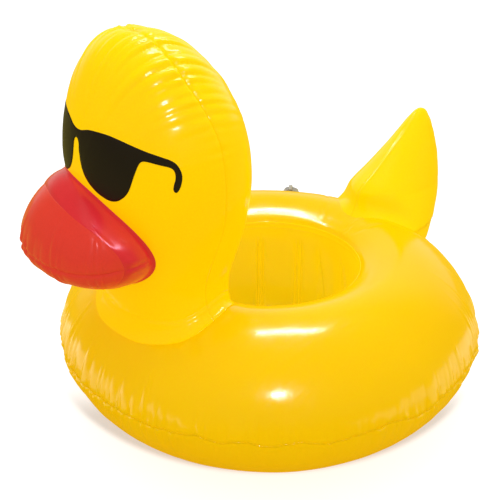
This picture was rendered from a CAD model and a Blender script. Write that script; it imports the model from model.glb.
# An inflatable duck float: a ring with a central well, and on it a head with a bill and
# printed sunglasses, and a tail. A moulded dispenser stands in the well.
# The ring's axis is Z and it rests on z = 0; the duck faces -Y and its left side is +X.
# Lengths are in metres. Most sizes are multiples of RING_R, the radius of the outer weld.
import bpy, bmesh, math
import numpy as np
from mathutils import Vector, Matrix
from mathutils.geometry import delaunay_2d_cdt


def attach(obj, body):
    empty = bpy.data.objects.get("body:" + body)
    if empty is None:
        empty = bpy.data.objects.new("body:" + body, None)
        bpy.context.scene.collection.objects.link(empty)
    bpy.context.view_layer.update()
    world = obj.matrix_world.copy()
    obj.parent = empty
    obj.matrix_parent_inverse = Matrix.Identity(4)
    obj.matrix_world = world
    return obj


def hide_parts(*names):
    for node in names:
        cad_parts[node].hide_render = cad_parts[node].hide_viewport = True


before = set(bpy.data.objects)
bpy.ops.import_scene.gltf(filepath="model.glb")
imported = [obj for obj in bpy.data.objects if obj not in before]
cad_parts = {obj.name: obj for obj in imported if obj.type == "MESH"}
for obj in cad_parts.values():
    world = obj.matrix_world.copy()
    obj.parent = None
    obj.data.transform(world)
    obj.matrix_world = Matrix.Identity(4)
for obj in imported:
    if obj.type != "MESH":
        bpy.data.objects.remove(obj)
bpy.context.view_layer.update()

# ------------------------------------------------------------------ sizes
FILM = 0.0004                  # thickness of the vinyl film
RING_R = 0.165                 # ring radius at its outer weld
SEAM_Z = 0.382 * RING_R        # height of the outer weld
CREST_R = 0.606 * RING_R       # highest circle of the ring
CREST_Z = 0.757 * RING_R
FOOT_IN, FOOT_OUT = 0.50 * RING_R, 0.55 * RING_R    # flat band the ring rests on
# superellipse powers of the ring's outline: above the seam, below it, and at the mouth
SHOULDER_POWER, BELLY_POWER, MOUTH_POWER = 1.75, 1.83, 1.36
RING_COLUMNS = 1152

WELL_R = 0.072
HOLE_R = WELL_R + FILM         # the ring film lies outside the well sleeve
MOUTH_Z = 0.674 * RING_R       # weld at the top of the well
FLOOR_Z = 0.015                # floor of the well
DRAINS, DRAIN_R, DRAIN_CIRCLE_R = 6, 0.0026, 0.067

# air valve: its frame on the rear right of the ring, and the opening under its flange
VALVE_FRAME = (Matrix.Rotation(math.radians(131), 4, "Z")
               @ Matrix.Translation((0.906087 * RING_R, 0, 0.597416 * RING_R))
               @ Matrix.Rotation(math.radians(49.62), 4, "Y"))
VALVE_HOLE_R = 0.0069

HEAD_FOOT_Z, HEAD_TOP_Z = 0.55 * RING_R, 1.8808 * RING_R
HEAD_MID_Z = 1.33 * RING_R     # centre of the side-to-side weld over the crown
HEAD_SEAM = 2 * 1.45 * RING_R  # length of that weld
TAIL_FOOT_Z, TAIL_TOP_Z = 0.62 * RING_R, 1.216 * RING_R
BILL_REACH = 0.378             # root to tip, in ring radii


# ------------------------------------------------------- curves and noise
def ease(start, end, value):
    """Smooth step: 0 at start, 1 at end. It may run downwards."""
    part = np.clip((value - start) / (end - start), 0, 1)
    return part * part * (3 - 2 * part)


def bell(offset, width, power=2):
    """A bump of height 1 at offset 0."""
    return np.exp(-(offset / width) ** power)


def superellipse(cosine, power):
    return np.maximum(cosine, 0.0) ** (2.0 / power)


def wrapped(angle):
    return np.angle(np.exp(1j * angle))


def circle(angle):
    return np.stack([np.cos(angle), np.sin(angle), 0 * angle], -1)


def stations(knots, counts):
    """Values running through the knots, with a count for each interval."""
    runs = zip(knots[:-1], knots[1:], counts)
    return np.concatenate([np.linspace(*run)[min(i, 1):] for i, run in enumerate(runs)])


def lengths_along(path):
    return np.concatenate([[0], np.cumsum(np.linalg.norm(np.diff(path, axis=0), axis=1))])


def curve_distance(points, curve):
    """Distance from points to a closed curve; 9 where the curve is far away."""
    flat = points.reshape(-1, 3)
    result = np.full(len(flat), 9.0)
    centre = (curve.min(0) + curve.max(0)) / 2
    reach = np.linalg.norm(curve - centre, axis=1).max() + 0.03
    close = np.where(np.linalg.norm(flat - centre, axis=1) < reach)[0]
    start, side = curve[:-1], np.diff(curve, axis=0)
    side_sq = (side * side).sum(1) + 1e-18
    for first in range(0, len(close), 4000):
        batch = close[first:first + 4000]
        here = flat[batch][:, None]
        part = np.clip(((here - start) * side).sum(2) / side_sq, 0, 1)
        gap = np.linalg.norm(start + side * part[..., None] - here, axis=2)
        result[batch] = gap.min(1)
    return result.reshape(points.shape[:-1])


class Waves:
    """A smooth 3-D noise: a sum of seeded sine waves, values about -1 to 1."""
    def __init__(self, seed, count, wavelength):
        random = np.random.default_rng(seed)
        direction = random.normal(size=(count, 3))
        direction /= np.linalg.norm(direction, axis=1)[:, None]
        number = 2 * np.pi / (wavelength * np.exp(random.normal(size=count) * 0.4))
        self.wave = direction * number[:, None]
        self.phase = random.uniform(0, 2 * np.pi, count)
        self.scale = 1.0 / np.sqrt(count / 2)

    def __call__(self, points):
        total = np.sin(points.reshape(-1, 3) @ self.wave.T + self.phase).sum(1)
        return (total * self.scale).reshape(points.shape[:-1])


class Gathers:
    """Film gathered along a weld: ridges side by side with sharp valleys between them.

    Called with the place along the weld and the distance away from it."""
    def __init__(self, seed, length, pitch, height, reach, jitter=0.35, closed=True,
                 strength=None):
        random = np.random.default_rng(seed)
        count = max(4, int(round(length / pitch)))
        width = np.exp(random.normal(size=count) * jitter)
        valleys = np.concatenate([[0], np.cumsum(width)])
        self.valleys = valleys / valleys[-1] * length
        self.length = length
        self.height = height * np.exp(np.clip(random.normal(size=count), -2, 1.0) * 0.45)
        self.reach = reach * np.exp(random.normal(size=count) * 0.42)
        self.lean = random.uniform(-0.25, 0.25, count)
        if strength is not None:
            local = strength(0.5 * (self.valleys[1:] + self.valleys[:-1]))
            self.height = self.height * local
            self.reach = self.reach * (0.55 + 0.45 * np.clip(local, 0, 1.3))
        self.closed = closed

    def __call__(self, along, away):
        if self.closed:
            along = np.mod(along, self.length)
        i = np.searchsorted(self.valleys, along, side="right") - 1
        i = np.clip(i, 0, len(self.height) - 1)
        across = (along - self.valleys[i]) / (self.valleys[i + 1] - self.valleys[i])
        lean = self.lean[i] * away / self.reach[i] * across * (1 - across)
        ridge = np.sin(np.pi * np.clip(across + lean, 0, 1)) ** 0.75
        away = np.abs(away)
        fade = bell(away, self.reach[i], 1.5)
        rise = 0.45 + 0.55 * ease(0.0, 0.004, away)
        on_weld = (along >= 0) & (along <= self.length)
        return np.where(on_weld, self.height[i] * ridge * fade * rise, 0)


# ----------------------------------------------------------------- meshes
def link(piece):
    bpy.context.scene.collection.objects.link(piece)
    return piece


def mesh_object(name, vertices, faces, smooth=True):
    """An object from arrays; every face has the same number of corners."""
    mesh = bpy.data.meshes.new(name)
    vertices = np.ascontiguousarray(vertices, dtype=np.float32).reshape(-1, 3)
    faces = np.ascontiguousarray(faces, dtype=np.int32)
    corners = faces.shape[1]
    mesh.vertices.add(len(vertices))
    mesh.vertices.foreach_set("co", vertices.ravel())
    mesh.loops.add(faces.size)
    mesh.loops.foreach_set("vertex_index", faces.ravel())
    mesh.polygons.add(len(faces))
    mesh.polygons.foreach_set("loop_start", np.arange(0, faces.size, corners, dtype=np.int32))
    mesh.polygons.foreach_set("loop_total", np.full(len(faces), corners, np.int32))
    mesh.update(calc_edges=True)
    mesh.validate()
    mesh.polygons.foreach_set("use_smooth", np.full(len(mesh.polygons), smooth))
    mesh.update()
    return link(bpy.data.objects.new(name, mesh))


def face_outwards(piece, merge=False):
    """Makes the face normals consistent, after merging a collapsed last row if asked."""
    bm = bmesh.new()
    bm.from_mesh(piece.data)
    if merge:
        bmesh.ops.remove_doubles(bm, verts=bm.verts[:], dist=2e-6)
    bmesh.ops.recalc_face_normals(bm, faces=bm.faces[:])
    bm.to_mesh(piece.data)
    bm.free()
    piece.data.update()


def revolved(radius, height, angle):
    """Grid of points: one row per outline point, one column per angle."""
    return np.stack([radius[:, None] * np.cos(angle), radius[:, None] * np.sin(angle),
                     height[:, None] + 0 * angle], -1)


def grid_normals(points, away, row=slice(None), wrap=False):
    """Normals of a grid whose columns may wrap, on the side the directions away point to.

    Only the given row decides the side."""
    if wrap:
        across = np.roll(points, -1, 1) - np.roll(points, 1, 1)
    else:
        across = np.gradient(points, axis=1)
    normals = np.cross(across, np.gradient(points, axis=0))
    normals = normals / np.maximum(np.linalg.norm(normals, axis=-1, keepdims=True), 1e-12)
    return -normals if (normals[row] * away[row]).sum() < 0 else normals


def grid_quads(rows, columns, wrap, offset=0, flip=False):
    i = np.arange(rows - 1)[:, None]
    j = np.arange(columns if wrap else columns - 1)[None, :]
    k = (j + 1) % columns
    corners = (i * columns + j, i * columns + k, (i + 1) * columns + k, (i + 1) * columns + j)
    quads = np.stack(np.broadcast_arrays(*corners), -1).reshape(-1, 4) + offset
    return quads[:, ::-1] if flip else quads


def film_shell(name, outer, normals, wrap=False, closed_tip=False):
    """A closed solid of film whose outer face is the grid and whose rims are shut."""
    rows, columns = outer.shape[:2]
    inner = outer - normals * FILM
    offset = rows * columns
    i = np.arange(columns if wrap else columns - 1)
    k = (i + 1) % columns
    last = (rows - 1) * columns
    rims = [(i, i + offset, k + offset, k),
            (last + i, last + k, last + k + offset, last + i + offset)]
    if not wrap:
        low = np.arange(rows - 1) * columns
        high = low + columns
        rims.append((low, high, high + offset, low + offset))
        low, high = low + columns - 1, high + columns - 1
        rims.append((low, low + offset, high + offset, high))
    faces = [grid_quads(rows, columns, wrap), grid_quads(rows, columns, wrap, offset, True)]
    faces += [np.stack(rim, -1) for rim in rims]
    vertices = np.concatenate([outer.reshape(-1, 3), inner.reshape(-1, 3)])
    piece = mesh_object(name, vertices, np.concatenate(faces))
    face_outwards(piece, merge=closed_tip)
    return piece


def cut_out(piece, tools):
    """Cuts the tools out of a piece and removes them."""
    for tool in tools:
        cut = piece.modifiers.new("cut", "BOOLEAN")
        cut.operation, cut.solver, cut.object = "DIFFERENCE", "EXACT", tool
    graph = bpy.context.evaluated_depsgraph_get()
    mesh = bpy.data.meshes.new_from_object(piece.evaluated_get(graph))
    piece.modifiers.clear()
    piece.data = mesh
    for tool in tools:
        bpy.data.objects.remove(tool)


# --------------------------------------- where head and tail stand on the ring
def ring_top(points):
    """Height of the smooth ring's upper film above or below the points."""
    radius = np.hypot(points[..., 0], points[..., 1])
    out = np.clip((radius - CREST_R) / (RING_R - CREST_R), 0, 1)
    into = np.clip((CREST_R - radius) / (CREST_R - HOLE_R), 0, 1)
    outer = (1 - out ** SHOULDER_POWER) ** (1 / SHOULDER_POWER)
    inner = (1 - into ** MOUTH_POWER) ** (1 / MOUTH_POWER)
    return np.where(radius >= CREST_R, SEAM_Z + (CREST_Z - SEAM_Z) * outer,
                    MOUTH_Z + (CREST_Z - MOUTH_Z) * inner)


def foot_height(body, angle, low, high):
    """Height at which a body's wall meets the ring, by bisection between low and high."""
    low = np.full(np.shape(angle), low)
    high = np.full(np.shape(angle), high)
    for _ in range(26):
        middle = (low + high) / 2
        above = middle - ring_top(body(angle, middle)) > 0
        high = np.where(above, middle, high)
        low = np.where(above, low, middle)
    return (low + high) / 2


def wall_normals(body, angle, z, lowest, top):
    step = 1e-5
    across = body(angle + step, z) - body(angle - step, z)
    inside = np.clip(z, lowest, top - 2e-5)
    normals = np.cross(across, body(angle, inside + step) - body(angle, inside - step))
    size = np.linalg.norm(normals, axis=-1, keepdims=True)
    normals = normals / np.maximum(size, 1e-14)
    normals[size[..., 0] < 1e-13] = (0, 0, 1)
    return normals


# --------------------------------------------------------- smooth head shape
# The level is 0 at the head's foot and 1 at its top.
def head_level(z):
    return np.clip((z - HEAD_FOOT_Z) / (HEAD_TOP_Z - HEAD_FOOT_Z), 0, 1)


def head_cap(level):
    return np.maximum(0, 1 - level ** 3.3755)


def head_half_width(z):
    level = head_level(z)
    body = (0.175 + 0.5607 * level - 0.2672 * level * level) * head_cap(level) ** 0.5
    return RING_R * (body + 0.12 * np.clip(1 - (z / RING_R - 0.70) / 0.2, 0, 1) ** 2)


def head_half_depth(z):
    level = head_level(z)
    body = RING_R * (0.1491 + 0.7402 * level - 0.5229 * level * level)
    return body * head_cap(level) ** 0.436


def head_middle_y(z):
    level = head_level(z)
    return RING_R * (-0.6005 - 0.0122 * level + 0.1599 * level * level - 0.2303 * level ** 3)


def head_point(angle, z):
    """Angle in radians round the head: 0 is the face (-Y), +90 degrees the left (+X)."""
    angle, z = np.broadcast_arrays(np.asarray(angle, float), np.asarray(z, float))
    x = head_half_width(z) * np.sin(angle)
    y = head_middle_y(z) - head_half_depth(z) * np.cos(angle)
    # behind the neck the film is drawn forwards, so its foot stays on the ring
    limit = np.maximum((0.463 * RING_R) ** 2 - x * x, (0.28 * RING_R) ** 2)
    over = y + np.sqrt(limit)
    pull = ease(1.08 * RING_R, 0.76 * RING_R, z)
    y = y - pull * (over + np.sqrt(over * over + (0.02 * RING_R) ** 2)) / 2
    return np.stack([x, y, z], -1)


def head_foot(angle):
    return foot_height(head_point, angle, 0.45 * RING_R, 0.9 * RING_R)


def flare_size(angle):
    """Width and height of the rounded flare at the neck's foot; larger in front."""
    turn = np.abs(wrapped(np.asarray(angle, float)))
    front = ease(math.radians(75), math.radians(12), turn)
    back = ease(math.radians(110), math.radians(165), turn)
    return 0.0042 + 0.0048 * front - 0.0022 * back, 0.0095 + 0.0045 * front - 0.004 * back


def neck_outward(angle):
    """Unit direction in plan pointing away from the neck's foot."""
    z = head_foot(angle)
    step = 1e-4
    along = head_point(angle + step, z) - head_point(angle - step, z)
    out = np.stack([along[..., 1], -along[..., 0]], -1)
    return out / np.linalg.norm(out, axis=-1, keepdims=True)


def neck_rim(angle):
    """Outer edge of the neck's flare, lying on the ring."""
    rim = head_point(angle, head_foot(angle))
    rim[:, :2] += neck_outward(angle) * flare_size(angle)[0][:, None]
    rim[:, 2] = ring_top(rim)
    return rim


def seam_back(z):
    """How far the head's weld drifts backwards below the crown."""
    return (0.052 * RING_R * ease(1.80 * RING_R, 1.45 * RING_R, z)
            * ease(0.9 * RING_R, 1.2 * RING_R, z))


def bill_weld(angle):
    """Slightly askew oval on the face; angle 0 is its left side (+X), 90 degrees its top."""
    cosine, sine = np.cos(angle), np.sin(angle)
    left = cosine >= 0
    x = np.where(left, 0.257, 0.293) * RING_R * cosine
    z = (RING_R * (1.12 + np.where(sine >= 0, 0.215, 0.198) * sine)
         - np.where(left, 0.20, 0.25) * x)
    depth = np.sqrt(np.maximum(0, 1 - (x / head_half_width(z)) ** 2))
    return np.stack([x, head_middle_y(z) - head_half_depth(z) * depth, z], -1)


# --------------------------------------------------------- smooth tail shape
# The level is 0 near the tail's foot and 1 at its top.
def tail_level(z):
    return (z - TAIL_FOOT_Z) / (TAIL_TOP_Z - TAIL_FOOT_Z)


def tail_cap(level):
    return np.maximum(0, 1 - np.maximum(0, level) ** 1.804)


def tail_half_width(z):
    level = tail_level(z)
    return RING_R * ((0.288 - 0.204 * level) * tail_cap(level) ** 0.365
                     + 0.05 * np.clip((0.86 - z / RING_R) / 0.12, 0, 1.2))


def tail_half_depth(z):
    level = tail_level(z)
    return RING_R * (0.433 - 0.337 * level) * tail_cap(level) ** 0.342


def tail_middle_y(z):
    level = tail_level(z)
    return RING_R * (0.651 + 0.66 * level - 0.271 * level * level)


def tail_point(angle, z):
    """Angle in radians round the tail: 0 is its front (-Y), +90 degrees the left (+X)."""
    angle, z = np.broadcast_arrays(np.asarray(angle, float), np.asarray(z, float))
    cosine = np.cos(angle)
    tuck = 0.56 * RING_R * np.maximum(0, 0.86 - z / RING_R)
    depth = tail_half_depth(z) - np.where(cosine > 0, tuck, 0)
    x, y = tail_half_width(z) * np.sin(angle), tail_middle_y(z) - depth * cosine
    # in front the film is pushed backwards, so its foot stays on the ring
    limit = np.maximum((0.487 * RING_R) ** 2 - x * x, (0.3 * RING_R) ** 2)
    over = np.sqrt(limit) - y
    push = ease(1.0 * RING_R, 0.8 * RING_R, z)
    y = y + push * (over + np.sqrt(over * over + (0.012 * RING_R) ** 2)) / 2
    return np.stack([x, y, z], -1)


def tail_foot(angle):
    return foot_height(tail_point, angle, 0.40 * RING_R, 0.9 * RING_R)


AROUND = np.linspace(-np.pi, np.pi, 361)
NECK_RIM = neck_rim(AROUND)
TAIL_RIM = tail_point(AROUND, tail_foot(AROUND))
BILL_RIM = bill_weld(np.linspace(0, 2 * np.pi, 241))

# ------------------------------------------------------------------- ring
SEAM_ROUND = 2 * np.pi * RING_R
UPPER_GATHERS = Gathers(3, SEAM_ROUND, pitch=0.0070, height=0.00150, reach=0.0165)
LOWER_GATHERS = Gathers(5, SEAM_ROUND, pitch=0.0070, height=0.00150, reach=0.0120)
FINE_GATHERS = Gathers(4, SEAM_ROUND, pitch=0.0039, height=0.00042, reach=0.0065)
SEAM_STEPS = Gathers(3, SEAM_ROUND, pitch=0.0082, height=1.0, reach=1.0)
SEAM_WANDER = Waves(31, 20, wavelength=0.022)
GATHER_DRIFT = Waves(17, 10, wavelength=0.14)
SLOW_ROLL = Waves(11, 24, wavelength=0.16)
SMALL_ROLL = Waves(12, 24, wavelength=0.05)


def ring_outline(upper):
    """(radius, z) from the outer weld to just past the weld on the well sleeve."""
    turn = np.linspace(0, np.pi / 2, 400)
    cosine, sine = np.cos(turn), np.sin(turn)
    if upper:
        parts = [
            (CREST_R + (RING_R - CREST_R) * superellipse(cosine, SHOULDER_POWER),
             SEAM_Z + (CREST_Z - SEAM_Z) * superellipse(sine, SHOULDER_POWER)),
            (CREST_R - (CREST_R - HOLE_R) * superellipse(sine[1:], MOUTH_POWER),
             MOUTH_Z + (CREST_Z - MOUTH_Z) * superellipse(cosine[1:], MOUTH_POWER)),
            ([HOLE_R], [MOUTH_Z - 0.005])]
    else:
        parts = [
            (FOOT_OUT + (RING_R - FOOT_OUT) * superellipse(cosine, BELLY_POWER),
             SEAM_Z - SEAM_Z * superellipse(sine, BELLY_POWER)),
            (FOOT_IN - (FOOT_IN - HOLE_R) * sine, FLOOR_Z - FLOOR_Z * cosine),
            ([HOLE_R], [FLOOR_Z + 0.005])]
    return np.concatenate([np.stack(part, -1) for part in parts])


def round_neck(points):
    """Direction and distance in plan from the neck's middle; 0 points forwards."""
    x, y = points[..., 0], points[..., 1] + 0.645 * RING_R
    return np.arctan2(x, -y), np.hypot(x, y)


def mark_upper_ring(bulge, points):
    """Adds the marks of the neck, the tail and the well's mouth to the upper film."""
    to_neck = curve_distance(points, NECK_RIM)
    to_tail = curve_distance(points, TAIL_RIM)
    # under the neck's flare and close round it the film lies flat
    angle, radius = round_neck(points)
    rim_angle, rim_radius = round_neck(NECK_RIM)
    order = np.argsort(rim_angle)
    under = radius < np.interp(angle, rim_angle[order], rim_radius[order])
    bulge = bulge * np.where(under, 0, ease(0.0, 0.010, to_neck)) - np.where(under, 0.0004, 0)
    # short pulls fan out from the neck's weld, strongest on the left, outside a fine groove
    pull = (np.sin(angle * 17 + 1.9 * np.sin(angle * 5)) * ease(0.0, 0.003, to_neck)
            * bell(to_neck, width=0.012))
    left = ease(0.25, 0.9, angle) * ease(2.2, 1.5, angle)
    bulge = bulge + np.where(under, 0, -0.00022 * bell(to_neck, width=0.0016)
                             + 0.00045 * pull * (0.25 + left))
    bulge = bulge - 0.0005 * bell(to_tail, width=0.0018)
    # two fine weld lines round the mouth of the well, with a flat band between
    mouth = np.hypot(points[..., 0], points[..., 1]) < CREST_R - 0.012
    for z, depth in ((MOUTH_Z + 0.0012, 0.00042), (MOUTH_Z + 0.0058, 0.00026)):
        bulge = bulge - np.where(mouth, depth * bell(points[..., 2] - z, width=0.0007), 0)
    return bulge


def build_ring_film(name, upper):
    path = ring_outline(upper)
    lengths = lengths_along(path)
    total = lengths[-1]
    seam_gap = stations((0, 0.030, total - 0.012, total), (34, 34 if upper else 30, 12))
    radius, height = (np.interp(seam_gap, lengths, path[:, k]) for k in (0, 1))
    angle = np.linspace(0, 2 * np.pi, RING_COLUMNS, endpoint=False)
    outward = circle(angle)
    points = revolved(radius, height, angle)
    normals = grid_normals(points, points * (1, 1, 0), row=10, wrap=True)
    along = np.broadcast_to(angle * RING_R, points.shape[:2])
    away = np.broadcast_to(seam_gap[:, None], points.shape[:2])

    # the gathers are lower and shorter round the front left, at -40 degrees from +X
    front_left = np.cos(angle + math.radians(40))
    amount = (np.clip(0.75 + 0.45 * GATHER_DRIFT(outward * RING_R), 0.35, 1.15)
              * (1 + 0.45 * ease(0.65, 0.15, front_left)))
    if upper:
        shortened = away * (1 + 0.9 * ease(0.35, 0.95, front_left))
        bulge = (UPPER_GATHERS(along, shortened) * amount
                 + FINE_GATHERS(along, shortened) * amount)
    else:
        bulge = (LOWER_GATHERS(along, away) * amount
                 + FINE_GATHERS(along + 0.002, away) * amount)
    # the weld draws the film in: a broad hollow and a sharp groove
    bulge = (bulge - 0.0007 * bell(away, width=0.0150, power=1.6)
             - 0.0004 * bell(away, width=0.0012))
    end_fade = ease(total, total - 0.02, away)
    bulge = (bulge + 0.00030 * SLOW_ROLL(points) * end_fade * ease(0, 0.02, away)
             + 0.00007 * SMALL_ROLL(points) * end_fade)
    if upper:
        bulge = mark_upper_ring(bulge, points)
    else:
        # nothing bulges below the base plane
        bulge = bulge * (1 - ease(0.012, 0.004, points[..., 2]))
    points = points + normals * bulge[..., None]
    # the weld itself wanders up and down with the gathers
    wander = (0.0009 * SEAM_WANDER(outward * RING_R)
              + 0.0007 * (SEAM_STEPS(angle * RING_R, 0 * angle) - 0.5))
    points[..., 2] += wander * bell(away, width=0.010)
    points[..., 2] = np.maximum(points[..., 2], 0.0)

    # trimmed weld lip outside the seam: rows of (share of its width, share of its lift)
    side = np.array([0, 0, 1 if upper else -1])
    lip_width = 0.0005 + 0.00012 * np.sin(angle * 61 + 2 * np.sin(angle * 7))
    lip = [points[0] + outward * (lip_width * width)[:, None] + side * (FILM * 0.55) * lift
           for width, lift in ((1.0, 0.4), (0.92, 1.0), (0.45, 1.0))]
    points = np.concatenate([np.array(lip), points])
    normals = grid_normals(points, points * (1, 1, 0), row=30, wrap=True)
    normals[:3] = side
    normals[3] = 0.6 * normals[4] + 0.4 * side
    normals[3] /= np.linalg.norm(normals[3], axis=-1, keepdims=True)
    return film_shell(name, points, normals, wrap=True)


def open_valve_hole(piece):
    bm = bmesh.new()
    bmesh.ops.create_cone(bm, cap_ends=True, segments=64, radius1=VALVE_HOLE_R,
                          radius2=VALVE_HOLE_R, depth=0.03, matrix=VALVE_FRAME)
    mesh = bpy.data.meshes.new("punch")
    bm.to_mesh(mesh)
    bm.free()
    cut_out(piece, [link(bpy.data.objects.new("punch", mesh))])
    piece.data.name = piece.name


# ------------------------------------------------------------------- well
WELL_SWAGS = Gathers(8, 2 * np.pi * WELL_R, pitch=0.030, height=1.0, reach=1.0, jitter=0.30)
# creases in the sleeve: degrees from +X, width factor, slant in degrees, depth factor
WELL_CREASES = (
    (146.4, 0.9, 0.0, 1.0), (143.2, 1.0, 0.0, 1.0), (119.2, 1.1, 0.0, 0.9),
    (115.9, 1.0, 0.0, 0.8), (98.0, 0.5, 6.0, 0.6), (76.0, 0.7, 9.0, 0.7),
    (60.0, 0.8, 0.0, 0.8), (40.0, 0.8, 0.0, 0.8), (12.0, 1.0, -5.0, 1.0),
    (-18.0, 0.8, 0.0, 0.7), (-41.0, 1.0, 0.0, 1.0), (-75.0, 0.9, 4.0, 0.8),
    (-79.0, 0.9, 4.0, 0.8), (-112.0, 0.8, 0.0, 0.9), (-141.0, 1.0, 0.0, 0.9),
    (-166.0, 0.9, -4.0, 0.8), (171.0, 0.8, 0.0, 0.8))
# weld lines round the sleeve: height, how far they stand inwards
WELL_LINES = ((MOUTH_Z - 0.0008, 0.0002), (MOUTH_Z - 0.0052, 0.0003), (FLOOR_Z + 0.005, 0.0003))


def build_well_sleeve():
    angle = np.linspace(0, 2 * np.pi, 720, endpoint=False)
    height = stations((FLOOR_Z, 0.028, MOUTH_Z - 0.016, MOUTH_Z), (14, 34, 26))
    points = revolved(np.full(len(height), WELL_R), height, angle)
    along = np.broadcast_to(angle * WELL_R, points.shape[:2])
    z = points[..., 2]
    # slack film: soft upright swags between sharp creases, fading out at the welds;
    # "inward" is measured towards the axis
    slack = (ease(MOUTH_Z - 0.012, MOUTH_Z - 0.030, z)
             * ease(FLOOR_Z + 0.003, FLOOR_Z + 0.012, z))
    inward = -0.0022 * WELL_SWAGS(along, 0 * along) * slack
    for degrees, width, slant, depth in WELL_CREASES:
        crease = np.radians(degrees + slant * (z - 0.06) / 0.045)
        across = wrapped(angle - crease) * WELL_R
        groove = bell(across, width=0.00085 * width)
        ridges = bell(np.abs(across) - 0.0018, width=0.0011)
        inward += -0.0020 * depth * slack * groove + 0.00060 * depth * slack * ridges
    inward += 0.00030 * SMALL_ROLL(points) * ease(MOUTH_Z - 0.006, MOUTH_Z - 0.02, z)
    for line_z, lift in WELL_LINES:
        inward += lift * bell(z - line_z, width=0.0006)
    outward = circle(angle)
    points = points - outward * np.minimum(inward, 0.0009)[..., None]
    to_axis = np.broadcast_to(-outward, points.shape)
    normals = grid_normals(points, to_axis, row=20, wrap=True)
    return film_shell("float_well_sleeve", points, normals, wrap=True)


def build_well_floor():
    """A flat ring of film turned up against the sleeve, with drain holes."""
    angle = np.linspace(0, 2 * np.pi, 480, endpoint=False)
    edge = WELL_R - FILM
    radius = np.concatenate([np.linspace(0.050, 0.0708, 26), [0.0713, 0.0715, edge, edge]])
    rise = [FILM + 0.0003, 0.0012, 0.003, 0.005]
    height = FLOOR_Z + np.concatenate([np.full(26, FILM), rise])
    points = revolved(radius, height, angle)
    wrinkle = np.sin(angle * 23 + 1.5 * np.sin(angle * 4)) * 0.00028
    near_edge = ease(0.0625, 0.066, radius) * ease(0.0712, 0.069, radius)
    points[..., 2] += wrinkle * near_edge[:, None]
    upward = np.broadcast_to((0, 0, 1), points.shape)
    normals = grid_normals(points, upward, row=5, wrap=True)
    piece = film_shell("float_well_floor", points, normals, wrap=True)

    cutters = []
    for k in range(DRAINS):
        turn = math.radians(30 + 360 // DRAINS * k)
        place = (DRAIN_CIRCLE_R * math.cos(turn), DRAIN_CIRCLE_R * math.sin(turn), FLOOR_Z)
        bpy.ops.mesh.primitive_cylinder_add(vertices=32, radius=DRAIN_R, depth=0.006,
                                            location=place)
        cutters.append(bpy.context.object)
    cut_out(piece, cutters)

    mesh = piece.data
    mesh.polygons.foreach_set("use_smooth", np.full(len(mesh.polygons), True))
    bm = bmesh.new()
    bm.from_mesh(mesh)
    for edge in bm.edges:
        if len(edge.link_faces) == 2:
            edge.smooth = edge.calc_face_angle(0.0) < math.radians(40)
    bm.to_mesh(mesh)
    bm.free()
    return piece


# ------------------------------------------------------------------- head
def head_strength(along):
    """How gathered the head's weld is: strong over the crown, faint down the sides."""
    from_crown = np.abs(along / HEAD_SEAM - 0.5) * 2
    return 0.03 + 1.15 * bell(from_crown, width=0.36, power=3.2)


HEAD_GATHERS = Gathers(42, HEAD_SEAM, pitch=0.0068, height=0.00150, reach=0.0200,
                       jitter=0.30, closed=False, strength=head_strength)
HEAD_FINE_GATHERS = Gathers(43, HEAD_SEAM, pitch=0.0040, height=0.00045, reach=0.0075,
                            closed=False, strength=head_strength)
NECK_GATHERS = Gathers(47, 2 * np.pi * 0.30 * RING_R, pitch=0.0075, height=0.00034,
                       reach=0.0070, jitter=0.5)
HEAD_ROLL = Waves(51, 24, wavelength=0.11)
HEAD_RIPPLE = Waves(52, 24, wavelength=0.035)

# one side of the head's weld: height, half width, length down from the crown, and bearing
# seen from the weld's centre
SEAM_HEIGHTS = np.linspace(0.5 * RING_R, HEAD_TOP_Z, 4000)
SEAM_WIDTHS = head_half_width(SEAM_HEIGHTS)
SEAM_LENGTHS = lengths_along(np.stack([SEAM_HEIGHTS, SEAM_WIDTHS], -1))
SEAM_LENGTHS = SEAM_LENGTHS[-1] - SEAM_LENGTHS
SEAM_BEARINGS = np.arctan2(SEAM_HEIGHTS - HEAD_MID_Z, SEAM_WIDTHS)


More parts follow.
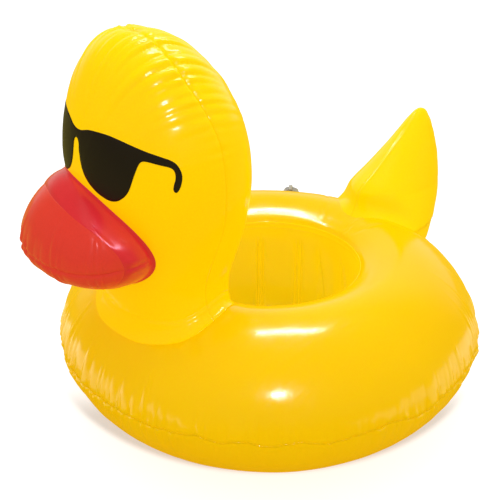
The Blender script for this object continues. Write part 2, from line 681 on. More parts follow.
def head_bulge(z, points):
    """Displacement along the normal: the weld and its gathers, the foot and the bill."""
    x, y = points[..., 0], points[..., 1]
    to_seam = np.abs(y - head_middle_y(z) - seam_back(z))
    # nearest place on the weld: by bearing over the crown, by height below it
    bearing = np.arctan2(z - HEAD_MID_Z, np.abs(x))
    order = np.argsort(SEAM_BEARINGS)
    by_bearing = np.interp(bearing, SEAM_BEARINGS[order], SEAM_HEIGHTS[order])
    seam_z = np.where(z > HEAD_MID_Z, by_bearing, z)
    along = HEAD_SEAM / 2 + np.sign(x) * np.interp(seam_z, SEAM_HEIGHTS, SEAM_LENGTHS)
    bulge = HEAD_GATHERS(along, to_seam) + HEAD_FINE_GATHERS(along, to_seam)
    # the weld draws the film in: a broad hollow and a sharp groove
    crown = head_strength(along)
    bulge = bulge - 0.0013 * crown * bell(to_seam, width=0.018, power=1.6)
    bulge = bulge - ((0.00010 + 0.0006 * np.clip(crown, 0, 1)) * bell(to_seam, width=0.0013)
                     * ease(1.05 * RING_R, 1.3 * RING_R, z))
    # small wrinkles lie across the weld
    bulge = bulge + (0.00012 * np.sin(z / 0.0021 + 2.5 * np.sin(z / 0.0063))
                     * bell(to_seam, width=0.006) * ease(1.0 * RING_R, 1.2 * RING_R, z))
    bulge = bulge + 0.00025 * HEAD_ROLL(points) + 0.00007 * HEAD_RIPPLE(points)
    # short gathers run down the flare of the foot on the left side
    height = z - ring_top(points)
    angle = np.arctan2(x, -(y + 0.60 * RING_R))
    bulge = bulge + (NECK_GATHERS(angle * 0.30 * RING_R, height) * ease(0.020, 0.010, height)
                     * ease(0.2, 0.8, angle))
    # the face is drawn in a little round the bill's weld
    return bulge - 0.0007 * bell(curve_distance(points, BILL_RIM), width=0.0060)


def head_surface(angle, z, extra=0.0):
    """Points on the finished head, raised by extra, and the smooth head's normals."""
    points = head_point(angle, z)
    normals = wall_normals(head_point, angle, z, HEAD_FOOT_Z, HEAD_TOP_Z)
    return points + normals * (head_bulge(z, points) + extra)[..., None], normals


def build_head_half(name, middle, widen):
    """Half the head round the middle angle.

    Its edges follow the weld as it drifts back: widen is 1 in front and -1 behind."""
    start, end = middle + math.pi / 2, middle - math.pi / 2
    across = np.linspace(0, 1, 201)
    angle = start + (end - start) * across
    foot = head_foot(angle)
    flare_w, flare_h = flare_size(angle)
    # 26 rows up the flare, then 150 to the top, closer together as they rise
    low = foot + flare_h * np.linspace(0, 1, 26, endpoint=False)[:, None]
    part = np.linspace(0, 1, 150, endpoint=False)
    part = 0.35 * part + 0.65 * (1 - (1 - part) ** 2)
    high = foot + flare_h + (HEAD_TOP_Z - foot - flare_h) * part[:, None]
    high[-1] = HEAD_TOP_Z - 2e-6
    z = np.concatenate([low, high])
    drift = widen * np.arcsin(np.clip(seam_back(z) / head_half_depth(z), 0, 0.5))
    first, last = start + drift, end - drift
    points, wall = head_surface(first + (last - first) * across, z)
    # the flare: a quarter round from the neck's wall down on to the ring
    down = np.clip(1 - (z - foot) / flare_h, 0, 1)
    turn = np.radians(90) * down
    flared = points.copy()
    flared[..., :2] += neck_outward(angle) * (flare_w * (1 - np.cos(turn)))[..., None]
    sine = np.sin(turn)
    flared[..., 2] = (points[..., 2] + (ring_top(flared) - foot) * sine
                      + flare_h * ((1 - sine) - (1 - down)) + 0.0003 * sine)
    # a faint crease where the flare begins, with a soft ridge below it
    crease = -0.00055 * bell(turn - 0.16, width=0.09) + 0.00035 * bell(turn - 0.42, width=0.16)
    flared = flared + wall * crease[..., None]
    normals = grid_normals(flared, wall, row=60)
    normals[-1] = normals[-2]
    return film_shell(name, flared, normals, closed_tip=True)


# ------------------------------------------------------------------- bill
# The share runs from 0 at the bill's root to 1 at its tip. The angle runs round the bill:
# 0 is its left side (+X) and 90 degrees its top.
def bill_y(share):
    return -RING_R * (0.80 + BILL_REACH * share)


def bill_middle_z(share):
    return RING_R * (1.113 - 0.037 * share)


def bill_across(angle):
    cosine = np.cos(angle)
    return np.sign(cosine) * np.abs(cosine) ** 0.909


def bill_point(angle, share):
    angle, share = np.broadcast_arrays(np.asarray(angle, float), np.asarray(share, float))
    sine = np.sin(angle)
    half_width = (RING_R * (0.318 + 0.043 * share)
                  * np.sqrt(np.maximum(0, 1 - share ** 2.864)))
    above = RING_R * 0.295 * np.sqrt(np.maximum(0, 1 - share ** 1.931))
    below = RING_R * 0.205 * np.sqrt(np.maximum(0, 1 - share ** 1.35))
    z = bill_middle_z(share) + np.where(sine >= 0, above, below) * sine
    return np.stack([half_width * bill_across(angle), bill_y(share), z], -1)


def bill_crease(angle):
    """Share at which the bill's dome meets its base band."""
    x, sine = 0.31 * bill_across(angle), np.sin(angle)
    share = (0.268 - 0.75 * x * x - np.where(sine < 0, 0.04 * sine * sine, 0)) / BILL_REACH
    degrees = np.degrees(wrapped(np.asarray(angle, float)))
    return (share + 0.065 * bell(degrees - 50, width=32) - 0.040 * bell(degrees, width=18)
            - 0.075 * bell(degrees - 138, width=32))


# the left side seam of the bill, from its root to the tip
BILL_SIDE = bill_point(0.0, 1 - (1 - np.linspace(0, 1, 900)) ** 2)
BILL_LENGTHS = lengths_along(BILL_SIDE)
BILL_SEAM = 2 * BILL_LENGTHS[-1]


def bill_strength(along):
    from_middle = np.abs(along / BILL_SEAM - 0.5) * 2
    return 0.45 + 0.75 * bell(from_middle, width=0.55)


BILL_GATHERS = Gathers(61, BILL_SEAM, pitch=0.0070, height=0.00100, reach=0.0095,
                       closed=False, strength=bill_strength)
BILL_FINE_GATHERS = Gathers(62, BILL_SEAM, pitch=0.0037, height=0.00022, reach=0.0045,
                            closed=False, strength=bill_strength)


def bill_bearing(points):
    """Seen from above at the root: 0 towards the tip, 90 degrees to the left."""
    return np.arctan2(points[..., 0], -(points[..., 1] - bill_y(0.0)))


def bill_bulge(points, share):
    away = np.abs(points[..., 2] - bill_middle_z(share)) / 0.9
    side_bearing = bill_bearing(BILL_SIDE)
    order = np.argsort(side_bearing)
    length = np.interp(np.abs(bill_bearing(points)), side_bearing[order], BILL_LENGTHS[order])
    along = np.where(points[..., 0] >= 0, length, BILL_SEAM - length)
    bulge = BILL_GATHERS(along, away) + BILL_FINE_GATHERS(along, away)
    return bulge - 0.0007 * bell(away, width=0.0013) + 0.00025 * HEAD_ROLL(points * 1.3)


def build_bill_dome(name, start):
    """Half the bill's dome, running 180 degrees back from the start angle."""
    columns, rows, sweep = 150, 96, -180
    even = np.linspace(0, 1, columns + 1)
    bunched = 0.5 - 0.5 * np.cos(np.linspace(0, np.pi, columns + 1))
    angle = np.radians(start + sweep * bunched * 0.35 + sweep * even * 0.65)
    crease = bill_crease(angle)
    share = crease + (1 - crease) * (1 - (1 - np.linspace(0, 1, rows)[:, None]) ** 2)
    share[-1] = 1 - 1e-7
    centre = np.array([0, -1.0 * RING_R, 1.1 * RING_R])
    points = bill_point(angle, share)
    normals = grid_normals(points, points - centre)
    normals[-1] = (0, -1, 0)
    # soft groove where the dome meets the base band
    to_band = (share - crease) * BILL_REACH * RING_R
    bulge = (bill_bulge(points, share) * ease(0.0, 0.004, to_band)
             - 0.00018 * bell(to_band, width=0.0016))
    points = points + normals * bulge[..., None]
    normals = grid_normals(points, points - centre)
    normals[-1] = (0, -1, 0)
    return film_shell(name, points, normals, closed_tip=True)


def bill_flange(weld):
    """Three rows of points lying on the face just outside the bill's weld."""
    run = np.roll(weld, -1, 0) - np.roll(weld, 1, 0)
    size = np.hypot(run[:, 0], run[:, 2])
    rows = []
    for width, lift in ((0.0014, 0.0001), (0.0013, 0.00035), (0.0006, 0.0005)):
        x = weld[:, 0] + run[:, 2] / size * width
        z = weld[:, 2] - run[:, 0] / size * width
        half_width = head_half_width(z)
        x = np.clip(x, -half_width * 0.999, half_width * 0.999)
        rows.append(head_surface(np.arcsin(x / half_width), z, lift)[0])
    return np.array(rows)


def build_bill_band():
    """The band between the weld on the face (part 0) and the bill's dome (part 1)."""
    around = np.linspace(0, 2 * np.pi, 300, endpoint=False)
    part, angle = np.meshgrid(stations((0, 0.1, 0.9, 1), (6, 22, 8)), around, indexing="ij")
    inner = bill_weld(angle)
    outer = bill_point(angle, bill_crease(angle))
    outward = np.stack([np.cos(angle), 0 * angle, np.sin(angle)], -1)
    points = (inner + (outer - inner) * part[..., None]
              + 0.010 * RING_R * (4 * part * (1 - part))[..., None] * outward)
    centre = np.array([0, -1.0 * RING_R, 1.08 * RING_R])
    normals = grid_normals(points, points - centre, wrap=True)
    band_width = 0.022
    bulge = (-0.00018 * bell((1 - part) * band_width, width=0.0016)
             + 0.0003 * HEAD_RIPPLE(points) * ease(0, 0.2, part) * ease(1, 0.8, part))
    # the two side seams of the dome run on across the band, with a ridge on either side
    for seam in (0.0, np.pi):
        away = np.abs(wrapped(angle - seam)) * 0.27 * RING_R
        bulge = bulge - (0.0007 * bell(away, width=0.0012) * ease(0.02, 0.15, part)
                         * ease(1, 0.85, part))
        bulge = bulge + (0.0005 * bell(away - 0.0042, width=0.0026) * ease(0.02, 0.3, part)
                         * ease(1, 0.8, part))
    points = points + normals * bulge[..., None]
    points = np.concatenate([bill_flange(bill_weld(around)), points])
    normals = grid_normals(points, points - centre, wrap=True)
    normals[:3] = (0, -1, 0)
    return film_shell("float_bill_base", points, normals, wrap=True)


# ------------------------------------------------------- printed sunglasses
# Left half of the outline: degrees round the head, height in ring radii.
GLASSES_HALF = [
    (0, 1.5495), (4.7, 1.5500), (10.9, 1.5585), (18, 1.5600), (26.1, 1.5560), (33, 1.5460),
    (40.3, 1.5310), (49.8, 1.5080), (57.8, 1.4890), (64.0, 1.4720), (67.4, 1.4520),
    (69.4, 1.4170), (68.6, 1.3800), (66.6, 1.3540), (64.9, 1.3480), (63.7, 1.3600),
    (64.2, 1.3790), (65.4, 1.4030), (65.3, 1.4280), (63.2, 1.4450), (57.3, 1.4570),
    (49.6, 1.4710), (46.5, 1.4690), (44.6, 1.4540), (42.1, 1.4180), (38.9, 1.3640),
    (36.3, 1.3370), (33.2, 1.3190), (30.0, 1.3085), (26.4, 1.3060), (22.4, 1.3120),
    (16.6, 1.3290), (10.9, 1.3560), (7.0, 1.3860), (4.4, 1.4260), (3.2, 1.4670),
    (2.6, 1.4950), (1.3, 1.5120), (0, 1.5160)]
GLASSES_SKEW = 0.097           # the mirrored right half rides higher
GLASSES_GRID = 0.0085          # spacing of the fill points, in ring radii


def smooth_loop(corners, steps):
    """Closed Catmull-Rom curve through the corners."""
    corners = np.array(corners, float)
    count = len(corners)
    curve = []
    for i in range(count):
        before, here, after, beyond = (corners[(i + k - 1) % count] for k in range(4))
        for j in range(steps):
            part = j / steps
            curve.append(0.5 * ((2 * here) + (-before + after) * part
                                + (2 * before - 5 * here + 4 * after - beyond) * part * part
                                + (-before + 3 * here - 3 * after + beyond) * part ** 3))
    return np.array(curve)


def fill_points(outline, spacing):
    """Staggered grid points inside a closed outline and clear of it."""
    low, high = outline.min(0), outline.max(0)
    grid_x, grid_y = np.meshgrid(np.arange(low[0], high[0], spacing),
                                 np.arange(low[1], high[1], spacing))
    grid_y[:, ::2] += spacing / 2
    grid = np.stack([grid_x.ravel(), grid_y.ravel()], -1)
    end = np.roll(outline, -1, 0)
    side = end - outline
    part = ((grid[:, None] - outline) * side).sum(2) / ((side * side).sum(1) + 1e-12)
    nearest = outline + side * np.clip(part, 0, 1)[..., None]
    gap = np.linalg.norm(nearest - grid[:, None], axis=2).min(1)
    # inside where a line to the right crosses the outline an odd number of times
    x, y = grid[:, :1], grid[:, 1:]
    crosses = (outline[:, 1] > y) != (end[:, 1] > y)
    cross_x = outline[:, 0] + (y - outline[:, 1]) * side[:, 0] / (side[:, 1] + 1e-15)
    inside = (np.sum(crosses & (x < cross_x), axis=1) % 2) == 1
    return grid[inside & (gap > spacing * 0.55)]


def build_glasses():
    mirrored = [(-degrees, z + GLASSES_SKEW * math.sin(math.radians(degrees)))
                for degrees, z in GLASSES_HALF[::-1]]
    # nearly equal units both ways keep the fill's triangles even
    scale = np.array([0.374 * math.pi / 180, 1.0])
    outline = smooth_loop(GLASSES_HALF + mirrored[1:-1], steps=7) * scale
    count = len(outline)
    flat = [Vector(p) for p in np.concatenate([outline, fill_points(outline, GLASSES_GRID)])]
    rim = [(i, (i + 1) % count) for i in range(count)]
    filled = delaunay_2d_cdt(flat, rim, [], 1, 1e-9)
    places = np.array([tuple(p) for p in filled[0]]) / scale
    angle, z = np.radians(places[:, 0]), places[:, 1] * RING_R
    top = head_surface(angle, z, 0.00016)[0]
    bottom = head_surface(angle, z, 0.00002)[0]

    count = len(top)
    faces = [tuple(face) for face in filled[2]]
    edges = dict.fromkeys(edge for i, j, k in faces for edge in ((i, j), (j, k), (k, i)))
    rim = [(i, j) for i, j in edges if (j, i) not in edges]
    faces += [(k + count, j + count, i + count) for i, j, k in faces]
    faces += [(j, i, i + count) for i, j in rim]
    faces += [(j, i + count, j + count) for i, j in rim]
    mesh = bpy.data.meshes.new("float_sunglasses")
    mesh.from_pydata(np.concatenate([top, bottom]).tolist(), [], faces)
    mesh.validate()
    mesh.update()
    mesh.polygons.foreach_set("use_smooth", np.full(len(mesh.polygons), True))
    piece = link(bpy.data.objects.new("float_sunglasses", mesh))
    face_outwards(piece)
    return piece


# ------------------------------------------------------------------- tail
TAIL_GATHERS = Gathers(71, 0.16, pitch=0.0105, height=0.00075, reach=0.0105, closed=False)
TAIL_ROLL = Waves(73, 20, wavelength=0.08)


def tail_surface(angle, z):
    """Points on the finished tail and the smooth tail's normals."""
    points = tail_point(angle, z)
    normals = wall_normals(tail_point, angle, z, 0.3 * RING_R, TAIL_TOP_Z)
    # the weld runs up the front and down the back, in the plane x = 0
    away = np.abs(points[..., 0])
    forward = np.cos(angle)
    front = forward > 0
    along = np.clip(z - 0.55 * RING_R, 0, 0.16)
    bulge = TAIL_GATHERS(along, away) * np.where(front, 0.12, 0.5)
    bulge = bulge - (np.where(front, 0.00012, 0.0006) * bell(away, width=0.0013)
                     * ease(TAIL_TOP_Z, TAIL_TOP_Z - 0.01, z))
    # the front seam stands as a soft fold
    fold = (0.0008 * bell(away, width=0.0036) * ease(0.80 * RING_R, 0.86 * RING_R, z)
            * ease(1.14 * RING_R, 1.00 * RING_R, z))
    bulge = bulge + np.where(front, fold, 0)
    bulge = bulge + 0.00018 * TAIL_ROLL(points) + 0.00006 * HEAD_RIPPLE(points)
    # the foot tucks under to its weld, most at the sides
    height = z - ring_top(points)
    back, side = ease(0.0, 0.8, -forward), ease(-0.85, 0.0, -forward)
    bulge = bulge - 0.0008 * bell(height + 0.0005, width=0.0040) * (1 - back)
    bulge = bulge - 0.0020 * back * ease(0.012, 0.0, height)
    bulge = bulge - (0.0076 * side * ease(0.89, 0.68, z / RING_R)
                     * ease(-0.002, 0.003, height))
    # in front the foot is drawn back a little under a faint ridge
    bulge = bulge + ease(0.0, 0.7, forward) * (
        0.0004 * bell(height - 0.026, width=0.008)
        - 0.0022 * ease(0.022, 0.012, height)
        - 0.0046 * bell(height - 0.009, width=0.006)
        - 0.0012 * bell(height - 0.004, width=0.003))
    return points + normals * bulge[..., None], normals


def build_tail_half(name, start):
    """Half the tail, running 180 degrees back from the start angle."""
    angle = np.radians(start - 180 * np.linspace(0, 1, 121))
    lowest = tail_foot(angle) - 0.0014
    part = 1 - (1 - np.linspace(0, 1, 110)[:, None]) ** 1.9
    z = lowest + (TAIL_TOP_Z - lowest) * part
    z[-1] = TAIL_TOP_Z - 1e-6
    points, wall = tail_surface(np.broadcast_to(angle, z.shape), z)
    normals = grid_normals(points, wall, row=30)
    normals[-1] = normals[-2]
    return film_shell(name, points, normals, closed_tip=True)


# ----------------------------------------------------------------- pieces
ring_upper = build_ring_film("float_ring_upper", upper=True)
ring_lower = build_ring_film("float_ring_lower", upper=False)
open_valve_hole(ring_upper)
well_sleeve = build_well_sleeve()
well_floor = build_well_floor()
head_front = build_head_half("float_head_front", middle=0, widen=1)
head_rear = build_head_half("float_head_rear", middle=math.pi, widen=-1)
bill_upper = build_bill_dome("float_bill_upper", start=180)
bill_lower = build_bill_dome("float_bill_lower", start=360)
bill_band = build_bill_band()
glasses = build_glasses()
tail_left = build_tail_half("float_tail_left", start=180)
tail_right = build_tail_half("float_tail_right", start=360)


# -------------------------------------------------------------- materials
class Shader:
    """Adds nodes to the tree of a material or a world."""
    def __init__(self, owner):
        owner.use_nodes = True
        self.tree = owner.node_tree

    def add(self, kind, inputs=(), **settings):
        """A new node; an input given a socket is linked, any other is set."""
        node = self.tree.nodes.new("ShaderNode" + kind)
        for key, value in settings.items():
            setattr(node, key, value)
        for key, value in dict(inputs).items():
            if isinstance(value, bpy.types.NodeSocket):
                self.tree.links.new(value, node.inputs[key])
            else:
                node.inputs[key].default_value = value
        return node

    def noise(self, vector, scale, **inputs):
        return self.add("TexNoise", {"Vector": vector, "Scale": scale, **inputs}).outputs["Fac"]

    def ramp(self, factor, low, high, *others):
        """Colour ramp; each stop is a position and an RGB colour."""
        node = self.add("ValToRGB", {"Fac": factor})
        elements = node.color_ramp.elements
        for i, (position, colour) in enumerate((low, high)):
            elements[i].position = position
            elements[i].color = (*colour, 1)
        for position, colour in others:
            elements.new(position).color = (*colour, 1)
        return node.outputs["Color"]

    def map_range(self, value, source=(0, 1), target=(0, 1), **settings):
        inputs = {"Value": value, "From Min": source[0], "From Max": source[1],
                  "To Min": target[0], "To Max": target[1]}
        return self.add("MapRange", inputs, **settings).outputs["Result"]

    def mix(self, factor, first, second, **settings):
        inputs = {"Factor": factor, 6: first, 7: second}
        return self.add("Mix", inputs, data_type="RGBA", **settings).outputs[2]

    def math(self, operation, *values):
        return self.add("Math", enumerate(values), operation=operation).outputs["Value"]

    def vector_math(self, operation, output, *values):
        node = self.add("VectorMath", enumerate(values), operation=operation)
        return node.outputs[output]

    def bump(self, height, strength, distance, **inputs):
        inputs = {"Height": height, "Strength": strength, "Distance": distance, **inputs}
        return self.add("Bump", inputs).outputs["Normal"]


class Material(Shader):
    def __init__(self, name):
        self.material = bpy.data.materials.new(name)
        super().__init__(self.material)
        self.tree.nodes.clear()
        self.output = self.add("OutputMaterial")
        self.place = self.add("TexCoord").outputs["Object"]

    def finish(self, node):
        self.tree.links.new(node.outputs[0], self.output.inputs["Surface"])
        return self.material


def vinyl(name, base, deep, light, translucent, glow, rough=0.16, grain=0.35, scuff=1.5):
    """Glossy soft PVC film: a slightly translucent dyed sheet with faint cloudy colour
    drift, orange-peel grain and fine handling scuffs."""
    shader = Material(name)
    cloud = shader.noise(shader.place, 9.0, Detail=3.0, Roughness=0.5)
    drift = shader.ramp(cloud, (0.30, deep), (0.72, light), (0.5, base))
    speckle = shader.noise(shader.place, 900.0, Detail=2.0)
    colour = shader.mix(0.10, drift, speckle, blend_type="MULTIPLY")
    # scuffs: thin streaks that raise the roughness
    streaks = shader.add("Mapping", {"Vector": shader.place, "Scale": (140, 26, 60),
                                     "Rotation": (0.4, 0.7, 0.3)}).outputs["Vector"]
    scuffs = shader.noise(streaks, 3.0, Detail=5.0, Roughness=0.65)
    roughness = shader.map_range(scuffs, (0.35, 0.75), (rough * 0.8, rough * scuff))
    # orange peel and a slow roll of the film
    peel = shader.noise(shader.place, 420.0, Detail=2.0)
    roll = shader.noise(shader.place, 48.0, Detail=3.0)
    normal = shader.bump(shader.math("MULTIPLY_ADD", peel, 0.10, roll), grain, 0.00035)
    # the emission is light that soaks through the film from the lit side of the float
    surface = shader.add("BsdfPrincipled", {
        "Base Color": colour, "Roughness": roughness, "Normal": normal, "IOR": 1.53,
        "Specular IOR Level": 0.42, "Emission Color": colour, "Emission Strength": glow})
    through = shader.add("BsdfTranslucent", {"Color": colour, "Normal": normal})
    return shader.finish(shader.add("MixShader", {
        0: translucent, 1: surface.outputs[0], 2: through.outputs[0]}))


def ink(name):
    """Printed black ink, faintly mottled."""
    shader = Material(name)
    fine = shader.noise(shader.place, 700.0, Detail=3.0)
    broad = shader.noise(shader.place, 30.0, Detail=2.0)
    return shader.finish(shader.add("BsdfPrincipled", {
        "Base Color": shader.ramp(broad, (0, (0.0125, 0.0090, 0.0085)),
                                  (1, (0.0215, 0.0155, 0.0145))),
        "Roughness": shader.map_range(fine, target=(0.34, 0.48)),
        "Normal": shader.bump(fine, 0.25, 0.00008),
        "Specular IOR Level": 0.22}))


def clear_film(name):
    """Clear soft vinyl."""
    shader = Material(name)
    cloud = shader.noise(shader.place, 160.0, Detail=3.0)
    return shader.finish(shader.add("BsdfPrincipled", {
        "Base Color": shader.ramp(cloud, (0, (0.80, 0.83, 0.84)), (1, (0.95, 0.96, 0.95))),
        "Normal": shader.bump(cloud, 0.2, 0.0002),
        "Roughness": 0.14, "IOR": 1.30, "Transmission Weight": 0.55}))


def moulded(name, colour, rough, tint):
    """Moulded plastic: fine grain, faint flow marks and worn, paler edges found with
    the bevel node. Tint is how far the flow marks vary the colour."""
    shader = Material(name)
    grain = shader.noise(shader.place, 2340.0, Detail=3.0)
    flow = shader.noise(shader.place, 26.0, Detail=4.0, Distortion=1.2)
    base = shader.ramp(flow, (0.3, [c * (1 - tint) for c in colour]),
                       (0.7, [min(1, c * (1 + tint) + 0.01) for c in colour]))
    true_normal = shader.add("NewGeometry").outputs["Normal"]
    bevel = shader.add("Bevel", {"Radius": 0.0006}, samples=4).outputs["Normal"]
    agreement = shader.vector_math("DOT_PRODUCT", "Value", true_normal, bevel)
    wear = shader.math("MULTIPLY", shader.map_range(agreement, (0.995, 0.90)), 0.45)
    worn = (*[min(1, c * 0.6 + 0.35) for c in colour], 1)
    return shader.finish(shader.add("BsdfPrincipled", {
        "Base Color": shader.mix(wear, base, worn),
        "Roughness": shader.map_range(flow, target=(rough * 0.8, rough * 1.25)),
        "Normal": shader.bump(grain, 0.18, 0.00006, Normal=bevel)}))


def set_material(piece, material):
    piece.data.materials.clear()
    piece.data.materials.append(material)


yellow = vinyl("yellow_vinyl", base=(0.910, 0.664, 0.0), deep=(0.90, 0.645, 0.0),
               light=(0.92, 0.684, 0.0), translucent=0.34, glow=0.34)
head_yellow = vinyl("yellow_vinyl_head", base=(0.97, 0.755, 0.0), deep=(0.965, 0.735, 0.0),
                    light=(0.975, 0.775, 0.0), translucent=0.34, glow=0.36)
well_yellow = vinyl("yellow_vinyl_well", base=(0.94, 0.790, 0.005), deep=(0.93, 0.765, 0.005),
                    light=(0.95, 0.815, 0.005), translucent=0.34, glow=0.34)
red = vinyl("red_vinyl", base=(0.735, 0.048, 0.031), deep=(0.71, 0.044, 0.028),
            light=(0.76, 0.053, 0.034), translucent=0.22, glow=0.36, rough=0.17)
crimson = vinyl("crimson_vinyl", base=(0.675, 0.024, 0.033), deep=(0.65, 0.021, 0.029),
                light=(0.70, 0.028, 0.037), translucent=0.16, glow=0.34, rough=0.26,
                grain=0.06, scuff=0.95)
black_ink = ink("black_ink")
clear = clear_film("clear_vinyl")
white_plastic = moulded("white_plastic", (0.80, 0.81, 0.80), rough=0.36, tint=0.04)
blue_plastic = moulded("blue_plastic", (0.012, 0.095, 0.36), rough=0.34, tint=0.14)
grey_plastic = moulded("grey_plastic", (0.13, 0.145, 0.16), rough=0.42, tint=0.12)
rubber = moulded("gasket_rubber", (0.016, 0.016, 0.018), rough=0.62, tint=0.2)

# piece, material, CAD node it replaces, material slot
for piece, material, node, slot in (
        (ring_upper, yellow, "ring_upper_panel", "yellow_vinyl"),
        (ring_lower, yellow, "ring_lower_panel", "yellow_vinyl"),
        (well_sleeve, well_yellow, "well_sleeve", "yellow_vinyl"),
        (well_floor, well_yellow, "well_floor", "yellow_vinyl"),
        (head_front, head_yellow, "head_front_panel", "yellow_vinyl"),
        (head_rear, head_yellow, "head_rear_panel", "yellow_vinyl"),
        (tail_left, head_yellow, "tail_left_panel", "yellow_vinyl"),
        (tail_right, head_yellow, "tail_right_panel", "yellow_vinyl"),
        (bill_upper, red, "bill_upper_panel", "red_vinyl"),
        (bill_lower, red, "bill_lower_panel", "red_vinyl"),
        (bill_band, crimson, "bill_base_band", "crimson_vinyl"),
        (glasses, black_ink, "sunglasses_print", "black_ink")):
    set_material(piece, material)
    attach(piece, "float")
    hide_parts(node)

# CAD pieces that keep their own meshes
for node, material in {
        "valve_flange": clear, "valve_stem": clear, "valve_strap": clear,
        "valve_flap": clear, "valve_stopper": clear,
        "dispenser_barrel": white_plastic, "retaining_ring": white_plastic,
        "basket_upper_stage": blue_plastic, "basket_lower_cup": blue_plastic,
        "flow_shutter": grey_plastic, "shutter_clip": white_plastic,
        "lid_gasket": rubber, "lid": blue_plastic}.items():
    set_material(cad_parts[node], material)

# ----------------------------------------------------------------- studio
CAMERA_TURN = math.radians(50)   # the camera stands this far round from -Y towards +X
WHITE = (1, 1, 1, 1)


def camera_frame(x, y, z, unit=RING_R):
    """A vector given as x to the camera's right, y away from it and z up."""
    sine, cosine = math.sin(CAMERA_TURN), math.cos(CAMERA_TURN)
    return Vector(((x * cosine - y * sine) * unit, (x * sine + y * cosine) * unit, z * unit))


def studio_white():
    """A pale floor that glows to the camera, less in a disc close to the float, and
    looks warm to every other ray."""
    shader = Material("studio_white")
    pale = shader.ramp(shader.noise(shader.place, 2.0), (0, (0.46, 0.465, 0.48)),
                       (1, (0.48, 0.485, 0.50)))
    camera_ray = shader.add("LightPath").outputs["Is Camera Ray"]
    colour = shader.mix(camera_ray, (0.58, 0.50, 0.08, 1), pale)
    diffuse = shader.add("BsdfDiffuse", {"Color": colour})
    # the dim disc has a soft edge; it fades out on the side away from the camera
    full_glow, dim_glow = 0.80, 0.42
    place = shader.add("NewGeometry").outputs["Position"]
    flat = shader.vector_math("MULTIPLY", "Vector", place, (1, 1, 0))
    offset = shader.vector_math("SUBTRACT", "Vector", flat,
                                (-0.334 * RING_R, 0.265 * RING_R, 0))
    distance = shader.vector_math("LENGTH", "Value", offset)
    disc = shader.map_range(distance, (1.115 * RING_R, 1.175 * RING_R), (dim_glow, full_glow),
                            interpolation_type="SMOOTHERSTEP")
    away = shader.vector_math("DOT_PRODUCT", "Value", place, camera_frame(0, 1, 0, unit=1))
    beyond = shader.map_range(away, (-0.34 * RING_R, -0.06 * RING_R),
                              interpolation_type="SMOOTHSTEP")
    glow = shader.add("Mix", {"Factor": beyond, 2: disc, 3: full_glow}, data_type="FLOAT")
    strength = shader.math("MULTIPLY", camera_ray, glow.outputs[0])
    emission = shader.add("Emission", {"Color": WHITE, "Strength": strength})
    return shader.finish(shader.add("AddShader", {0: diffuse.outputs[0],
                                                  1: emission.outputs[0]}))


def build_floor():
    half, z = 3.0, -0.0004
    corners = [(-half, -half, z), (half, -half, z), (half, half, z), (-half, half, z)]
    floor = mesh_object("studio_floor", np.array(corners), np.array([[0, 1, 2, 3]]), False)
    set_material(floor, studio_white())


def build_world():
    """Even white light. Reflections see a dim warm room that is pale only behind the
    duck, which gives the pale rims at its outline."""
    world = bpy.data.worlds.new("studio")
    shader = Shader(world)
    rays = shader.add("LightPath").outputs
    direction = shader.add("TexCoord").outputs["Generated"]
    behind = camera_frame(0, 1, 0.05, unit=1).normalized()
    toward_back = shader.map_range(
        shader.vector_math("DOT_PRODUCT", "Value", direction, behind), (0.45, 0.90),
        interpolation_type="SMOOTHSTEP")
    reflected = shader.mix(toward_back, (0.30, 0.20, 0.045, 1), (0.88, 0.93, 0.80, 1))
    lighting = shader.mix(rays["Is Glossy Ray"], (0.76, 0.76, 0.76, 1), reflected)
    seen = shader.mix(rays["Is Camera Ray"], lighting, (1.2, 1.2, 1.2, 1))
    background = shader.tree.nodes["Background"]
    background.inputs["Color"].default_value = WHITE   # in force only without the link
    background.inputs["Strength"].default_value = 1.0
    shader.tree.links.new(seen, background.inputs["Color"])
    return world


def build_camera():
    data = bpy.data.cameras.new("camera")
    camera = link(bpy.data.objects.new("camera", data))
    camera.location = camera_frame(-0.090, -3.6481, 2.6016)
    tilt = 0.4739   # radians below level
    forward = camera_frame(0, math.cos(tilt), -math.sin(tilt)).normalized()
    camera.rotation_mode = "QUATERNION"
    camera.rotation_quaternion = forward.to_track_quat("-Z", "Y")
    data.sensor_width = 36
    data.lens = 62.0420976
    data.clip_start, data.clip_end = 0.01, 20
    return camera


def area_light(name, place, target, size, power, size_y=None, shape="DISK",
               color=(1, 1, 1), along=None):
    """An area lamp aimed at a target; its long side may be turned along a direction."""
    data = bpy.data.lights.new(name, "AREA")
    data.energy = power
    data.color = color
    data.shape = "RECTANGLE" if size_y else shape
    data.size = size
    if size_y:
        data.size_y = size_y
    light = link(bpy.data.objects.new(name, data))
    light.location = place
    light.rotation_mode = "QUATERNION"
    if along is None:
        light.rotation_quaternion = (target - place).to_track_quat("-Z", "Y")
    else:
        along = Vector(along)
        z = (place - target).normalized()
        x = (along - z * z.dot(along)).normalized()
        light.rotation_quaternion = Matrix((x, z.cross(x), z)).transposed().to_quaternion()
    return light


def only_on(light, pieces):
    """Limits a lamp placed for one highlight to glossy light on the given pieces."""
    receivers = bpy.data.collections.new(light.name + "_on")
    for piece in pieces:
        receivers.objects.link(piece)
    light.light_linking.receiver_collection = receivers
    light.visible_diffuse = False
    light.visible_transmission = False


def highlight(name, spot, toward, distance, pieces, **lamp):
    """A lamp for the highlight at a spot, given in ring radii from the origin; it stands
    at a distance in a direction given in the camera's frame."""
    target = Vector(spot) * RING_R
    place = target + camera_frame(*toward, unit=1).normalized() * distance
    only_on(area_light(name, place, target, **lamp), pieces)


scene = bpy.context.scene
build_floor()
scene.world = build_world()
scene.camera = build_camera()

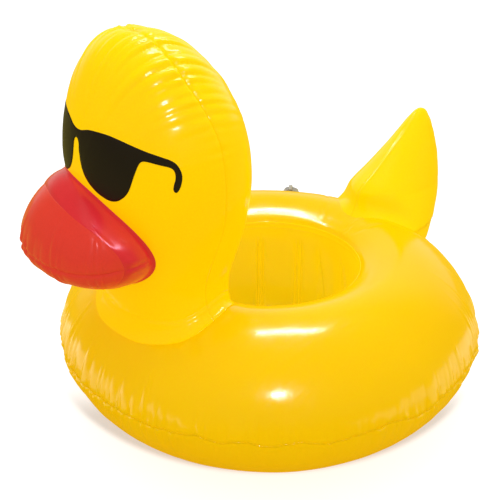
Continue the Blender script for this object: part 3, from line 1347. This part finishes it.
key = area_light("key_soft", camera_frame(0.2, 0.6, 6.6),
                 Vector((0, 0, 0.12)) + Vector((0, 0, 0.1)), size=0.55, power=3.4,
                 shape="SQUARE")
key.visible_glossy = False
ring, head = (ring_upper, ring_lower), (head_front, head_rear)
# long softboxes: the bands on the ring's crest and the gathers over the crown
highlight("overhead", (0, 0, 0.75), (-0.15, 0.19, 0.97), 12 * RING_R, ring,
          size=1.8, size_y=0.13, power=62.0, along=camera_frame(1, 0, 0))
highlight("crown", (0.18, -0.70, 1.82), (0.38, 0.36, 0.85), 1.0, head,
          size=0.75, size_y=0.16, power=8.0, along=(0, 1, 0))
# round lamps: spots on the ring, the head and the bill
highlight("spot_front", (0.70, -0.56, 0.57), (0.07, -0.81, 0.58), 1.3, [ring_upper],
          size=0.085, power=6.6)
highlight("spot_side", (0.305, -0.735, 1.62), (0.48, -0.81, 0.33), 1.3, head,
          size=0.09, power=6.0)
highlight("spot_bill", (0.262, -0.994, 1.203), (0.56, 0.36, 0.745), 1.0, [bill_band],
          size=0.62, power=20.0, color=(1.0, 0.72, 0.95))
highlight("spot_dome", (0.256, -1.035, 1.208), (-0.12, -0.79, 0.60), 1.0, [bill_upper],
          size=0.40, power=3.0, color=(1.0, 0.80, 0.95))
# bright patches by the floor to the camera's left and right, mirrored only in the ring
for name, side, power in (("patch_left", -1, 4.6), ("patch_right", 1, 3.2)):
    place = camera_frame(5.6 * side, -1.0, 0.02)
    patch = area_light(name, place, place + Vector((0, 0, 1)), size=1.25, size_y=0.70,
                       power=power, along=camera_frame(1, 0, 0))
    patch.visible_camera = False
    only_on(patch, ring)
highlight("spot_tail", (0.01, 0.673, 0.914), (-0.49, 0.37, 0.79), 1.0,
          (tail_left, tail_right), size=0.08, power=1.6)

scene.view_settings.view_transform = "Standard"
scene.view_settings.look = "None"
scene.view_settings.exposure = 0.0
scene.cycles.max_bounces = 10
scene.cycles.diffuse_bounces = 6
scene.cycles.transmission_bounces = 8
scene.cycles.caustics_reflective = False
scene.cycles.caustics_refractive = False
